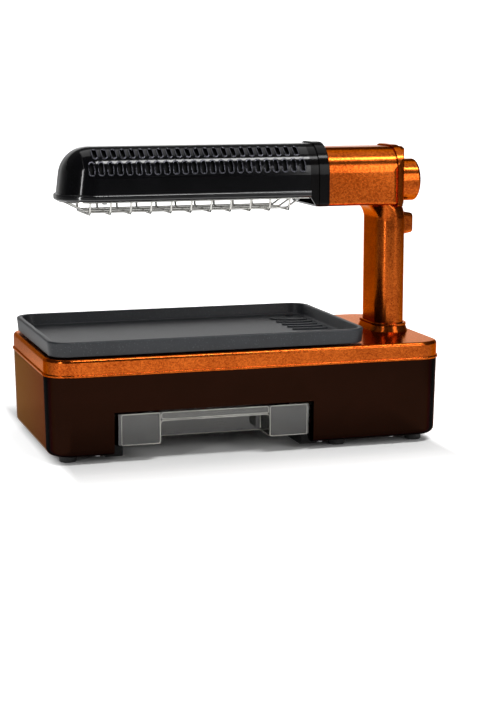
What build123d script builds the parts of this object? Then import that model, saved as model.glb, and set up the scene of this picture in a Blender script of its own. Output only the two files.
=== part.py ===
from build123d import *
import os
from math import cos, radians, sin

os.makedirs("parts", exist_ok=True)

# A tabletop infrared grill: a long base with a drip-tray drawer, a grill pan on its deck and a heater head
# that an oval column carries over the pan. Millimetres, +Z up, +X towards the column, -Y towards the user.
# The origin is on the table, under the middle of the whole object's box.

# Base
base_length = 482.0
base_depth = 250.0
base_corner = 30.0
floor_gap = 9.0
casing_height = 93.0
casing_wall = 3.0
casing_floor = 4.0
casing_draw_in = 2.1
casing_foot_radius = 8.0
deck_height = 21.0
deck_wall = 3.0
deck_edge_radius = 4.0
bead_proud = 1.5
bead_height = 3.2
bead_radius = 1.2
overrun = 2.0
contact_gap = 0.3
hole_clearance = 0.05

# Drawer
drawer_inset = 76.0
bay_width_share = 0.5
bay_rise = 50.5
bay_back_gap = 27.0
tray_side_gap = 3.0
tray_top_gap = 2.5
tray_front_inset = 1.5
tray_lift = 10.5
tray_back_gap = 6.5
tray_wall = 2.4
tray_corner = 6.0
tray_foot_radius = 1.8
recess_width_share = 0.55
recess_depth = 40.0
recess_corner = 5.0
lip_height = 10.0
lip_thickness = 3.0
lip_radius = 1.2
rail_ledge = 12.0
rail_flange = 8.0
rail_drop = 3.5
rail_front_inset = 13.0
rail_chamfer = 4.0

# Feet and screws
foot_diameter = 20.0
foot_inset_x = 27.0
foot_inset_y = 30.0
middle_foot_gap = 39.0
foot_peg_diameter = 6.0
foot_dish_diameter = 10.0
foot_dish_depth = 1.5
foot_edge = 1.5
screw_diameter = 4.0
screw_head_diameter = 8.0
screw_head_height = 2.4
screw_length = 18.0
screw_slot_width = 1.2
screw_slot_depth = 1.0
post_diameter = 11.0
post_inset_x = 60.0
post_inset_y = 20.0
middle_post_gap = 14.0
rail_screw_diameter = 3.0
rail_screw_head = 5.4
rail_screw_head_height = 1.6
rail_screw_margin = 30.0
rail_screw_count = 3

# Grill pan
pan_left_inset = 4.5
pan_right_inset = 95.0
pan_side_inset = 5.0
pan_height = 17.0
pan_corner = 24.0
pan_draw_in = 1.6
pan_rim = 6.0
pan_floor = 4.0
pan_wall_run = 5.0
pan_edge_radius = 2.0
pan_floor_radius = 3.0
pan_lift = 2.0
seat_gap = 0.2
pad_diameter = 18.0
pad_inset = 70.0
drain_inset_x = 30.0
drain_inset_y = 31.0
drain_diameter = 12.0
spout_wall = 2.0
spout_drop = 10.0
rib_width = 3.0
rib_height = 1.6
rib_first_radius = 38.0
rib_pitch = 19.0
rib_count = 5
rib_run = 44.0
rib_run_right = 12.0

# Drain chute under the deck
deck_drain_diameter = 30.0
cup_gap = 1.0
cup_wall = 1.2
cup_flange = 4.0
cup_flange_height = 1.0
cup_depth = 22.0
trough_overlap = 5.0
trough_depth = 14.0
trough_run_x = 66.0
trough_run_y = 22.0
trough_fall = 30.0

# Column and arm
column_inset = 30.5
column_width = 37.0
column_depth = 74.0
column_wall = 2.6
column_below_deck = 65.0
column_clearance = 0.3
arm_reach_left = 88.5
arm_reach_right = 15.0
arm_rise = 158.0
arm_height = 70.0
arm_end_radius = 22.0
arm_shoulder = 30.0
arm_foot_radius = 5.0
oval_flat = 0.05
passage_drop = 8.0
neck_radius = 20.0
neck_sections = 6
neck_turn = 76.0
neck_tuck = 0.6
cover_rim_proud = 2.2
cover_rim_width = 8.0
cover_boss_diameter = 9.0
cover_screw_drops = (59.0, 96.0)
cover_screw_grip = 9.0
cover_screw_sink = 9.0
cover_screw_length = 18.0
collar_height = 10.5
collar_wall = 2.6
collar_flare = 3.0
collar_lip_height = 3.0
collar_lip_proud = 1.0
collar_lip_radius = 0.9
sleeve_wall = 4.0
sleeve_length = 58.0
sleeve_flange = 2.0
sleeve_flange_height = 4.0
foot_ring_proud = 1.6
foot_ring_height = 3.7

# Controls
knob_diameter = 52.0
knob_length = 23.5
knob_gap = 0.5
knob_rise = 27.5
knob_edge_radius = 3.5
knob_skirt_wall = 3.0
knob_boss_diameter = 14.0
pointer_length = 13.0
pointer_width = 2.4
pointer_depth = 0.8
pointer_offset = 13.0
shaft_diameter = 6.0
shaft_in_knob = 14.0
shaft_in_switch = 8.0
switch_neck_diameter = 10.0
switch_width = 30.0
switch_thickness = 24.0
switch_edge = 2.0
button_drop = 26.0
button_width = 22.0
button_tall = 30.0
button_proud = 17.5
button_corner = 6.0
button_draw_in = 3.0
button_edge_radius = 2.5
button_flange = 2.0
button_flange_thickness = 2.0
button_stem_diameter = 6.0
button_travel = 4.0
stem_reach = 3.0

# Heater head
head_left_inset = 38.5
head_half_depth = 45.0
head_height = 54.5
head_plan_radius = 40.0
head_end_lean = 7.0
head_shoulder = 36.0
head_wall = 2.4
frame_lift = 12.0
frame_height = 8.5
frame_proud = 3.0
frame_opening_inset = 11.0
frame_edge_radius = 3.0
frame_screw_inset = 2.4
frame_screw_margin_left = 48.0
frame_screw_margin_right = 16.0
frame_boss_diameter = 7.0
frame_boss_height = 12.0
end_collar_length = 24.0
end_collar_proud = 1.8
end_collar_band = 13.0
end_collar_edge = 1.6
end_collar_slant_x = 8.0
end_collar_slant_z = 12.0
end_collar_wall = 2.4
vent_pitch = 11.2
vent_width = 6.6
vent_length = 16.0
vent_left_inset = 33.0
vent_right_inset = 6.4
vent_row_angles = (19.0, 52.0)
vent_tool_inner = 18.0
reflector_sheet = 0.8
reflector_rise = 34.0
reflector_mouth = 71.0
reflector_roof = 46.0
reflector_end_gap = 22.0
reflector_rim_margin = 0.4
shield_gap = 0.3
shield_sheet = 0.6
tube_diameter = 10.0
tube_spacing = 30.0
tube_drop = 18.0
holder_diameter = 15.0
holder_length = 12.0
holder_seat = 3.0
cutout_diameter = 16.0
cutout_height = 8.0
cutout_ear_width = 8.0
guard_wire = 2.4
guard_drop = 13.0
guard_wire_spacing = 27.0
guard_wire_rows = 3
guard_slope_left = 26.0
guard_slope_right = 19.0
guard_hoop_lean = 5.0
guard_hoop_count = 11
guard_bend = 5.0
guard_touch = 0.02
guard_ring_inset = 1.5
guard_ring_width = 8.0
guard_ring_thickness = 1.4

# Cord inlet and terminal block in the base
inlet_inset = 90.0
inlet_height = 42.0
inlet_flange_diameter = 22.0
inlet_flange_thickness = 2.0
inlet_body_diameter = 14.0
inlet_bore = 8.0
inlet_length = 14.0
block_inset = 100.0
block_length = 42.0
block_depth = 18.0
block_height = 16.0
block_back_gap = 40.0
block_pocket_diameter = 6.0
block_pocket_depth = 5.0
block_pocket_count = 4

# Places worked out from the sizes above
half_length = base_length / 2
casing_top = floor_gap + casing_height
casing_inside = floor_gap + casing_floor
deck_top = casing_top + deck_height
deck_underside = deck_top - deck_wall
column_offset = half_length - column_inset
left_reach = half_length + bead_proud
right_reach = column_offset + arm_reach_right + knob_gap + knob_length
mid_x = (left_reach - right_reach) / 2
base_left = mid_x - half_length
base_right = mid_x + half_length
column_x = mid_x + column_offset
column_left = column_x - column_width / 2
column_right = column_x + column_width / 2
column_foot = deck_top - column_below_deck
bay_width = base_length * bay_width_share
bay_length = base_depth - bay_back_gap
bay_right = base_left + drawer_inset + bay_width
drawer_x = bay_right - bay_width / 2
recess_width = bay_width * recess_width_share
tray_width = bay_width - 2 * tray_side_gap
tray_length = bay_length - tray_front_inset - tray_back_gap
tray_floor_z = floor_gap + tray_lift
tray_top = floor_gap + bay_rise - tray_top_gap
tray_front = -base_depth / 2 + tray_front_inset
pan_length = base_length - pan_left_inset - pan_right_inset
pan_depth = base_depth - 2 * pan_side_inset
pan_x = base_left + pan_left_inset + pan_length / 2
pan_bottom = deck_top + pan_lift + seat_gap
pan_top = pan_bottom + pan_height
pan_floor_z = pan_bottom + pan_floor
drain_x = pan_x + pan_length / 2 - drain_inset_x
drain_y = pan_depth / 2 - drain_inset_y
arm_floor_height = deck_top + arm_rise
arm_top_height = arm_floor_height + arm_height
arm_left = column_x - arm_reach_left
arm_right = column_x + arm_reach_right
cover_inside = arm_right - column_wall
knob_height = arm_floor_height + knob_rise
button_height_place = arm_floor_height - button_drop
frame_floor_height = arm_floor_height + frame_lift
frame_top = frame_floor_height + frame_height
head_left = base_left + head_left_inset
head_right = arm_left - end_collar_length
head_top_height = frame_top + head_height


def write(piece, name):
    """Label a finished piece and save it under its node's name."""
    piece.part.label = name
    export_step(piece.part, f"parts/{name}.step")


def screw(diameter, length, head_diameter, head_height):
    """One slotted pan-head screw standing on its head, its shank upwards from the origin."""
    with BuildPart() as one:
        Cylinder(diameter / 2, length, align=(Align.CENTER, Align.CENTER, Align.MIN))
        with Locations((0, 0, -head_height)):
            Cylinder(head_diameter / 2, head_height, align=(Align.CENTER, Align.CENTER, Align.MIN))
        slot_depth = head_height * screw_slot_depth / screw_head_height
        with Locations((0, 0, -head_height)):
            Box(
                head_diameter + overrun,
                screw_slot_width,
                slot_depth,
                align=(Align.CENTER, Align.CENTER, Align.MIN),
                mode=Mode.SUBTRACT,
            )
    return one.part


# Places of the feet, the deck's posts and the rail screws
foot_rows = (base_left + foot_inset_x, bay_right + middle_foot_gap, base_right - foot_inset_x)
foot_y = base_depth / 2 - foot_inset_y
foot_places = [(x, side * foot_y) for x in foot_rows for side in (-1, 1)]
post_rows = (base_left + post_inset_x, bay_right + middle_post_gap, base_right - post_inset_x)
post_y = base_depth / 2 - post_inset_y
post_places = [(x, side * post_y) for x in post_rows for side in (-1, 1)]
rail_front = -base_depth / 2 + rail_front_inset
rail_back = -base_depth / 2 + bay_length
rail_screw_step = (rail_back - rail_front - 2 * rail_screw_margin) / (rail_screw_count - 1)
rail_screw_x = bay_width / 2 + rail_flange / 2
rail_screw_places = [
    (drawer_x + side * rail_screw_x, rail_front + rail_screw_margin + i * rail_screw_step)
    for side in (-1, 1)
    for i in range(rail_screw_count)
]

# Lower casing: a drafted tub with the drawer bay cut through its front wall and floor
with BuildPart() as lower_casing:
    with BuildSketch(Plane.XY.offset(floor_gap)):
        with Locations((mid_x, 0)):
            draw_in = 2 * casing_draw_in
            RectangleRounded(base_length - draw_in, base_depth - draw_in, base_corner - casing_draw_in)
    with BuildSketch(Plane.XY.offset(casing_top)):
        with Locations((mid_x, 0)):
            RectangleRounded(base_length, base_depth, base_corner)
    loft()
    fillet(lower_casing.faces().sort_by(Axis.Z)[0].edges(), casing_foot_radius)
    with BuildSketch(Plane.XY.offset(casing_inside)):
        with Locations((mid_x, 0)):
            inset = casing_draw_in + casing_wall + casing_foot_radius / 2
            RectangleRounded(base_length - 2 * inset, base_depth - 2 * inset, base_corner - inset)
    with BuildSketch(Plane.XY.offset(casing_top)):
        with Locations((mid_x, 0)):
            RectangleRounded(
                base_length - 2 * casing_wall, base_depth - 2 * casing_wall, base_corner - casing_wall
            )
    loft(mode=Mode.SUBTRACT)
    with BuildSketch(Plane.XY.offset(floor_gap - overrun)):
        with Locations((drawer_x, -base_depth / 2 - overrun)):
            Rectangle(bay_width, bay_length + overrun, align=(Align.CENTER, Align.MIN))
    extrude(amount=bay_rise + overrun, mode=Mode.SUBTRACT)
    with BuildSketch(Plane.XY.offset(floor_gap)):
        with Locations(*post_places):
            Circle(screw_diameter / 2 + hole_clearance)
        with Locations(*foot_places):
            Circle(foot_peg_diameter / 2 + hole_clearance)
        with Locations(*rail_screw_places):
            Circle(rail_screw_diameter / 2 + hole_clearance)
    extrude(amount=casing_floor, mode=Mode.SUBTRACT)
    with BuildSketch(Plane.XZ.offset(-base_depth / 2 - overrun)):
        with Locations((base_right - inlet_inset, inlet_height)):
            Circle(inlet_body_diameter / 2 + hole_clearance)
    extrude(amount=casing_wall + casing_draw_in + casing_foot_radius + overrun, mode=Mode.SUBTRACT)
write(lower_casing, "lower_casing")

# Deck cover: the metallic upper shell with a bead at its foot and posts that the casing screws reach
with BuildPart() as deck_cover:
    with BuildSketch(Plane.XY.offset(casing_top)):
        with Locations((mid_x, 0)):
            RectangleRounded(base_length, base_depth, base_corner)
    extrude(amount=deck_height)
    fillet(deck_cover.faces().sort_by(Axis.Z)[-1].edges(), deck_edge_radius)
    with BuildSketch(Plane.XY.offset(casing_top)):
        with Locations((mid_x, 0)):
            RectangleRounded(
                base_length + 2 * bead_proud, base_depth + 2 * bead_proud, base_corner + bead_proud
            )
    extrude(amount=bead_height)
    bead_side = deck_cover.faces().filter_by(Axis.X).sort_by(Axis.X)[-1]
    fillet(bead_side.edges().filter_by(Axis.Y), bead_radius)
    with BuildSketch(Plane.XY.offset(casing_top)):
        with Locations((mid_x, 0)):
            RectangleRounded(base_length - 2 * deck_wall, base_depth - 2 * deck_wall, base_corner - deck_wall)
    extrude(amount=deck_height - deck_wall, mode=Mode.SUBTRACT)
    with BuildSketch(Plane.XY.offset(casing_inside)):
        with Locations(*post_places):
            Circle(post_diameter / 2)
    extrude(amount=deck_underside - casing_inside)
    with BuildSketch(Plane.XY.offset(casing_inside)):
        with Locations(*post_places):
            Circle(screw_diameter / 2 + hole_clearance)
    extrude(amount=screw_length, mode=Mode.SUBTRACT)
    with BuildSketch(Plane.XY.offset(deck_underside - overrun)):
        with Locations((column_x, 0)):
            SlotOverall(column_depth + 2 * column_clearance, column_width + 2 * column_clearance, rotation=90)
        with Locations((drain_x, drain_y)):
            Circle(deck_drain_diameter / 2)
    extrude(amount=deck_wall + 2 * overrun, mode=Mode.SUBTRACT)
write(deck_cover, "deck_cover")

# Column collar: a flared foot with a rolled lip that the column slides through
with BuildPart() as column_collar:
    bore_width = column_width + 2 * column_clearance
    bore_depth = column_depth + 2 * column_clearance
    neck_width = bore_width + 2 * collar_wall
    neck_depth = bore_depth + 2 * collar_wall
    flare = 2 * collar_flare
    with BuildSketch(Plane.XY.offset(deck_top)):
        with Locations((column_x, 0)):
            SlotOverall(neck_depth + flare, neck_width + flare, rotation=90)
    with BuildSketch(Plane.XY.offset(deck_top + collar_height - collar_lip_height)):
        with Locations((column_x, 0)):
            SlotOverall(neck_depth, neck_width, rotation=90)
    loft()
    with BuildSketch(Plane.XY.offset(deck_top + collar_height - collar_lip_height)):
        with Locations((column_x, 0)):
            SlotOverall(neck_depth + 2 * collar_lip_proud, neck_width + 2 * collar_lip_proud, rotation=90)
    extrude(amount=collar_lip_height)
    fillet(column_collar.faces().sort_by(Axis.Z)[-1].edges(), collar_lip_radius)
    with BuildSketch(Plane.XY.offset(deck_top - overrun)):
        with Locations((column_x, 0)):
            SlotOverall(bore_depth, bore_width, rotation=90)
    extrude(amount=collar_height + 2 * overrun, mode=Mode.SUBTRACT)
write(column_collar, "column_collar")

# Guide sleeve: hangs under the deck and guides the column below it
with BuildPart() as guide_sleeve:
    with BuildSketch(Plane.XY.offset(deck_underside)):
        with Locations((column_x, 0)):
            SlotOverall(bore_depth + 2 * sleeve_wall, bore_width + 2 * sleeve_wall, rotation=90)
    extrude(amount=-sleeve_length)
    with BuildSketch(Plane.XY.offset(deck_underside)):
        with Locations((column_x, 0)):
            flange = 2 * (sleeve_wall + sleeve_flange)
            SlotOverall(bore_depth + flange, bore_width + flange, rotation=90)
    extrude(amount=-sleeve_flange_height)
    with BuildSketch(Plane.XY.offset(deck_underside)):
        with Locations((column_x, 0)):
            SlotOverall(bore_depth, bore_width, rotation=90)
    extrude(amount=-sleeve_length, mode=Mode.SUBTRACT)
write(guide_sleeve, "guide_sleeve")

# Drawer rails: each carries one edge of the tray on a ledge and is screwed to the casing from below
rail_bottom = floor_gap - rail_drop
rail_top = tray_floor_z - contact_gap
for side, rail_name in ((-1, "drawer_rail_left"), (1, "drawer_rail_right")):
    with BuildPart() as rail:
        ledge_x = drawer_x + side * (bay_width / 2 - rail_ledge)
        wall_x = drawer_x + side * (bay_width / 2 - contact_gap)
        flange_x = drawer_x + side * (bay_width / 2 + rail_flange)
        with BuildSketch(Plane.XZ.offset(-rail_front)):
            with BuildLine():
                Polyline(
                    (ledge_x, rail_bottom),
                    (flange_x, rail_bottom),
                    (flange_x, floor_gap),
                    (wall_x, floor_gap),
                    (wall_x, rail_top),
                    (ledge_x, rail_top),
                    close=True,
                )
            make_face()
        extrude(amount=-(rail_back - rail_front))
        front_face = rail.faces().filter_by(Axis.Y).sort_by(Axis.Y)[0]
        chamfer(front_face.edges().filter_by(Axis.X).sort_by(Axis.Z)[0], rail_chamfer / 2)
        with BuildSketch(Plane.XY.offset(rail_bottom - overrun)):
            with Locations(*[place for place in rail_screw_places if side * (place[0] - drawer_x) > 0]):
                Circle(rail_screw_diameter / 2 + hole_clearance)
        extrude(amount=rail_drop + overrun, mode=Mode.SUBTRACT)
    write(rail, rail_name)

# Screws that hold the rails, and screws that pull the deck's posts onto the casing's floor
rail_screw = screw(rail_screw_diameter, rail_drop + casing_floor, rail_screw_head, rail_screw_head_height)
with BuildPart() as rail_screws:
    with Locations(*[(x, y, rail_bottom) for x, y in rail_screw_places]):
        add(rail_screw)
write(rail_screws, "rail_screws")

casing_screw = screw(screw_diameter, screw_length, screw_head_diameter, screw_head_height)
with BuildPart() as casing_screws:
    with Locations(*[(x, y, floor_gap) for x, y in post_places]):
        add(casing_screw)
write(casing_screws, "casing_screws")

# Rubber feet: dished pads with a peg in the casing's floor
with BuildPart() as rubber_feet:
    with BuildSketch(Plane.XY):
        with Locations(*foot_places):
            Circle(foot_diameter / 2)
    extrude(amount=floor_gap)
    fillet(rubber_feet.faces().sort_by(Axis.Z)[: len(foot_places)].edges(), foot_edge)
    with BuildSketch(Plane.XY.offset(floor_gap)):
        with Locations(*foot_places):
            Circle(foot_peg_diameter / 2)
    extrude(amount=casing_floor)
    with BuildSketch(Plane.XY):
        with Locations(*foot_places):
            Circle(foot_dish_diameter / 2)
    extrude(amount=foot_dish_depth, mode=Mode.SUBTRACT)
write(rubber_feet, "rubber_feet")

# Drip tray: a clear drawer with a finger recess under a lip
with BuildPart() as drip_tray:
    with BuildSketch(Plane.XY.offset(tray_floor_z)):
        with Locations((drawer_x, tray_front + tray_length / 2)):
            RectangleRounded(tray_width, tray_length, tray_corner)
    extrude(amount=tray_top - tray_floor_z)
    with BuildSketch(Plane.XY.offset(tray_floor_z + tray_wall)):
        with Locations((drawer_x, tray_front + tray_length / 2)):
            RectangleRounded(tray_width - 2 * tray_wall, tray_length - 2 * tray_wall, tray_corner - tray_wall)
        with Locations((drawer_x, tray_front)):
            Rectangle(
                recess_width + 2 * tray_wall,
                recess_depth + tray_wall,
                align=(Align.CENTER, Align.MIN),
                mode=Mode.SUBTRACT,
            )
    extrude(amount=tray_top - tray_floor_z, mode=Mode.SUBTRACT)
    with BuildSketch(Plane.XY.offset(tray_floor_z - overrun)):
        with Locations((drawer_x, tray_front - recess_corner)):
            RectangleRounded(recess_width, 2 * (recess_depth + recess_corner), recess_corner)
    extrude(amount=tray_top - tray_wall - tray_floor_z + overrun, mode=Mode.SUBTRACT)
    with BuildSketch(Plane.XY.offset(tray_top - lip_height)):
        with Locations((drawer_x, tray_front)):
            Rectangle(recess_width, lip_thickness, align=(Align.CENTER, Align.MIN))
    extrude(amount=lip_height)
    lip_face = drip_tray.faces().filter_by(Axis.Z).group_by(Axis.Z)[2].sort_by(Axis.Y)[0]
    fillet(lip_face.edges().filter_by(Axis.X), lip_radius)
    fillet(drip_tray.faces().sort_by(Axis.Z)[0].outer_wire().edges(), tray_foot_radius)
write(drip_tray, "drip_tray")

# Grill pan: a cast dish with a rounded rim, arc ribs round its drain corner and a short spout
with BuildPart() as grill_pan:
    with BuildSketch(Plane.XY.offset(pan_bottom)):
        with Locations((pan_x, 0)):
            RectangleRounded(
                pan_length - 2 * pan_draw_in, pan_depth - 2 * pan_draw_in, pan_corner - pan_draw_in
            )
    with BuildSketch(Plane.XY.offset(pan_top)):
        with Locations((pan_x, 0)):
            RectangleRounded(pan_length, pan_depth, pan_corner)
    loft()
    with BuildSketch(Plane.XY.offset(pan_floor_z)):
        with Locations((pan_x, 0)):
            inset = pan_rim + pan_wall_run
            RectangleRounded(pan_length - 2 * inset, pan_depth - 2 * inset, pan_corner - inset)
    with BuildSketch(Plane.XY.offset(pan_top)):
        with Locations((pan_x, 0)):
            RectangleRounded(pan_length - 2 * pan_rim, pan_depth - 2 * pan_rim, pan_corner - pan_rim)
    loft(mode=Mode.SUBTRACT)
    fillet(grill_pan.faces().filter_by(Axis.Z).sort_by(Axis.Z)[-1].edges(), pan_edge_radius)
    fillet(grill_pan.faces().filter_by(Axis.Z).sort_by(Axis.Z)[1].edges(), pan_floor_radius)
    rib_reach = rib_first_radius + rib_count * rib_pitch
    with BuildSketch(Plane.XY.offset(pan_floor_z)):
        with Locations((drain_x, drain_y)):
            for i in reversed(range(rib_count)):
                Circle(rib_first_radius + i * rib_pitch + rib_width / 2)
                Circle(rib_first_radius + i * rib_pitch - rib_width / 2, mode=Mode.SUBTRACT)
        with Locations((drain_x + rib_run_right, drain_y)):
            Rectangle(rib_run, rib_reach, align=(Align.MAX, Align.MAX), mode=Mode.INTERSECT)
    extrude(amount=rib_height)
    with BuildSketch(Plane.XY.offset(pan_bottom)):
        with Locations((drain_x, drain_y)):
            Circle(drain_diameter / 2 + spout_wall)
    extrude(amount=-spout_drop)
    with BuildSketch(Plane.XY.offset(pan_bottom - spout_drop)):
        with Locations((drain_x, drain_y)):
            Circle(drain_diameter / 2)
    extrude(amount=spout_drop + pan_floor, mode=Mode.SUBTRACT)
write(grill_pan, "grill_pan")

# Silicone pads that hold the hot pan off the deck
with BuildPart() as pan_pads:
    with BuildSketch(Plane.XY.offset(deck_top)):
        with Locations((pan_x, 0)):
            with GridLocations(pan_length - 2 * pad_inset, pan_depth - 2 * pad_inset, 2, 2):
                Circle(pad_diameter / 2)
    extrude(amount=pan_lift)
write(pan_pads, "pan_pads")

# Drain chute: a cup hung in the deck's hole, with a trough that falls to the tray
cup_radius = deck_drain_diameter / 2 - cup_gap
trough_path = Vector(-trough_run_x, -trough_run_y, -trough_fall)
trough_side = Vector(trough_run_y, -trough_run_x, 0)
trough_top = deck_top - cup_depth + trough_overlap
trough_start = Vector(drain_x, drain_y, trough_top) - trough_path.normalized() * cup_radius
trough_plane = Plane(origin=trough_start, x_dir=trough_side, z_dir=trough_path)
with BuildPart() as drain_chute:
    with BuildSketch(Plane.XY.offset(deck_top)):
        with Locations((drain_x, drain_y)):
            Circle(deck_drain_diameter / 2 + cup_flange)
    extrude(amount=cup_flange_height)
    with BuildSketch(Plane.XY.offset(deck_top)):
        with Locations((drain_x, drain_y)):
            Circle(cup_radius)
    extrude(amount=-cup_depth)
    with BuildSketch(trough_plane):
        Rectangle(2 * cup_radius, trough_depth, align=(Align.CENTER, Align.MAX))
    extrude(amount=trough_path.length + cup_radius)
    with BuildSketch(trough_plane.offset(cup_wall)):
        Rectangle(2 * (cup_radius - cup_wall), 2 * (trough_depth - cup_wall))
    extrude(amount=trough_path.length + cup_radius, mode=Mode.SUBTRACT)
    with BuildSketch(Plane.XY.offset(deck_top + cup_flange_height)):
        with Locations((drain_x, drain_y)):
            Circle(cup_radius)
            Circle(cup_radius - cup_wall, mode=Mode.SUBTRACT)
    extrude(amount=-cup_depth - cup_flange_height)
    with BuildSketch(Plane.XY.offset(deck_top + cup_flange_height)):
        with Locations((drain_x, drain_y)):
            Circle(cup_radius - cup_wall)
    extrude(amount=-cup_depth - cup_flange_height, mode=Mode.SUBTRACT)
write(drain_chute, "drain_chute")

# Cord inlet: a flanged bush through the casing's back wall
inlet_x = base_right - inlet_inset
inlet_crown = inlet_height + inlet_flange_diameter / 2
back_wall = base_depth / 2 - casing_draw_in * (casing_top - inlet_crown) / casing_height
with BuildPart() as cord_inlet:
    with BuildSketch(Plane.XZ.offset(-back_wall)):
        with Locations((inlet_x, inlet_height)):
            Circle(inlet_flange_diameter / 2)
    extrude(amount=-inlet_flange_thickness)
    with BuildSketch(Plane.XZ.offset(-back_wall)):
        with Locations((inlet_x, inlet_height)):
            Circle(inlet_body_diameter / 2)
    extrude(amount=inlet_length)
    with BuildSketch(Plane.XZ.offset(-back_wall - inlet_flange_thickness)):
        with Locations((inlet_x, inlet_height)):
            Circle(inlet_bore / 2)
    extrude(amount=inlet_length + inlet_flange_thickness, mode=Mode.SUBTRACT)
write(cord_inlet, "cord_inlet")

# Terminal block on the casing's floor
with BuildPart() as terminal_block:
    with BuildSketch(Plane.XY.offset(casing_inside)):
        with Locations((base_right - block_inset, base_depth / 2 - block_back_gap)):
            Rectangle(block_length, block_depth)
    extrude(amount=block_height)
    with BuildSketch(Plane.XY.offset(casing_inside + block_height)):
        with Locations((base_right - block_inset, base_depth / 2 - block_back_gap)):
            with GridLocations(block_length / block_pocket_count, 0, block_pocket_count, 1):
                Circle(block_pocket_diameter / 2)
    extrude(amount=-block_pocket_depth, mode=Mode.SUBTRACT)
write(terminal_block, "terminal_block")


def oval(plane, left, right, depth):
    """A rounded outline between two places along X, as deep as given: the column's section."""
    width = right - left
    with BuildSketch(plane) as section:
        with Locations(((left + right) / 2, 0)):
            RectangleRounded(width, depth, min(width, depth) / 2 - oval_flat)
    return section.sketch


def arch(plane, half_depth, floor, top, shoulder, foot):
    """The section of the arm and of its collars: upright sides under two round shoulders."""
    with BuildSketch(plane) as section:
        with Locations((0, (floor + top) / 2)):
            Rectangle(2 * half_depth, top - floor)
        fillet(section.vertices().group_by(Axis.Y)[-1], shoulder)
        fillet(section.vertices().group_by(Axis.Y)[0], foot)
    return section.sketch


def arm_form(inset, start):
    """The closed form of the arm from a place along X to its rounded end, drawn in by an inset."""
    with BuildPart() as form:
        section = arch(
            Plane.YZ.offset(start),
            head_half_depth - inset,
            arm_floor_height + inset,
            arm_top_height - inset,
            arm_shoulder - inset,
            arm_foot_radius,
        )
        extrude(section, amount=arm_right - inset - start)
        with BuildSketch(Plane.XY.offset(arm_floor_height - overrun)) as plan:
            with Locations((start, 0)):
                length = arm_right - inset - start
                Rectangle(length, 2 * (head_half_depth - inset), align=(Align.MIN, Align.CENTER))
            fillet(plan.vertices().group_by(Axis.X)[-1], arm_end_radius - inset)
        extrude(amount=arm_top_height - arm_floor_height + 2 * overrun, mode=Mode.INTERSECT)
    return form.part


# The copper form of column, neck and arm, whole and then the hollow inside it
neck_foot = arm_floor_height - neck_radius
with BuildPart() as copper_outside:
    add(arm_form(0, arm_left))
    extrude(
        oval(Plane.XY.offset(column_foot), column_left, column_right, column_depth),
        amount=neck_foot - column_foot,
    )
    neck_outlines = []
    for i in range(neck_sections):
        turn = radians(neck_turn * i / (neck_sections - 1))
        level = Plane.XY.offset(neck_foot + neck_radius * sin(turn))
        spread = neck_radius * (1 - cos(turn))
        draw_share = (1 - cos(turn)) / (1 - cos(radians(neck_turn)))
        draw = (column_right - arm_right + neck_tuck) * draw_share
        neck_outlines.append(oval(level, column_left - spread, column_right - draw, column_depth))
    loft(neck_outlines)
    neck_top = neck_foot + neck_radius * sin(radians(neck_turn))
    extrude(neck_outlines[-1], amount=arm_floor_height + arm_foot_radius - neck_top)

passage_foot = arm_floor_height - passage_drop
with BuildPart() as copper_inside:
    add(arm_form(column_wall, arm_left - overrun))
    bore = oval(
        Plane.XY.offset(column_foot - overrun),
        column_left + column_wall,
        column_right - column_wall,
        column_depth - 2 * column_wall,
    )
    extrude(bore, amount=passage_foot - column_foot + overrun)
    passage = oval(
        Plane.XY.offset(passage_foot),
        column_left + column_wall,
        arm_right - column_wall,
        column_depth - 2 * column_wall,
    )
    extrude(passage, amount=passage_drop + 2 * column_wall)

# Arm shell: the inner half of the column with the arm, and the bosses that take the cover's screws
seam = Plane.YZ.offset(column_x)
cover_screw_places = [(0, arm_floor_height - drop) for drop in cover_screw_drops]
with BuildPart() as arm_shell:
    add(copper_outside.part)
    add(copper_inside.part, mode=Mode.SUBTRACT)
    split(bisect_by=seam, keep=Keep.BOTTOM)
    with BuildSketch(seam):
        with Locations(*cover_screw_places):
            Circle(cover_boss_diameter / 2)
    extrude(amount=-(column_width / 2 - column_wall / 2))
    with BuildSketch(seam):
        with Locations(*cover_screw_places):
            Circle(rail_screw_diameter / 2 + hole_clearance)
    extrude(amount=-cover_screw_grip, mode=Mode.SUBTRACT)
write(arm_shell, "arm_shell")

# Column cover: the column's outer half with the arm's end, a proud rim at the seam and the control openings
with BuildPart() as rim:
    add(arm_form(-cover_rim_proud, arm_left))
    split(bisect_by=Plane.YZ.offset(column_x + cover_rim_width), keep=Keep.BOTTOM)
    split(bisect_by=seam, keep=Keep.TOP)
with BuildPart() as column_cover:
    add(copper_outside.part)
    add(rim.part)
    add(copper_inside.part, mode=Mode.SUBTRACT)
    split(bisect_by=seam, keep=Keep.TOP)
    with BuildSketch(seam):
        with Locations(*cover_screw_places):
            Circle(cover_boss_diameter / 2)
    extrude(amount=column_width / 2 - column_wall / 2)
    with BuildSketch(seam):
        with Locations(*cover_screw_places):
            Circle(rail_screw_diameter / 2 + hole_clearance)
    extrude(amount=column_width, mode=Mode.SUBTRACT)
    with BuildSketch(Plane.YZ.offset(column_right - cover_screw_sink)):
        with Locations(*cover_screw_places):
            Circle(rail_screw_head / 2 + contact_gap)
    extrude(amount=cover_screw_sink + overrun, mode=Mode.SUBTRACT)
    with BuildSketch(Plane.YZ.offset(cover_inside - overrun)):
        with Locations((0, knob_height)):
            Circle(switch_neck_diameter / 2 + hole_clearance)
        with Locations((0, button_height_place)):
            RectangleRounded(
                button_width + 2 * contact_gap, button_tall + 2 * contact_gap, button_corner + contact_gap
            )
    extrude(amount=column_width, mode=Mode.SUBTRACT)
write(column_cover, "column_cover")

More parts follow.
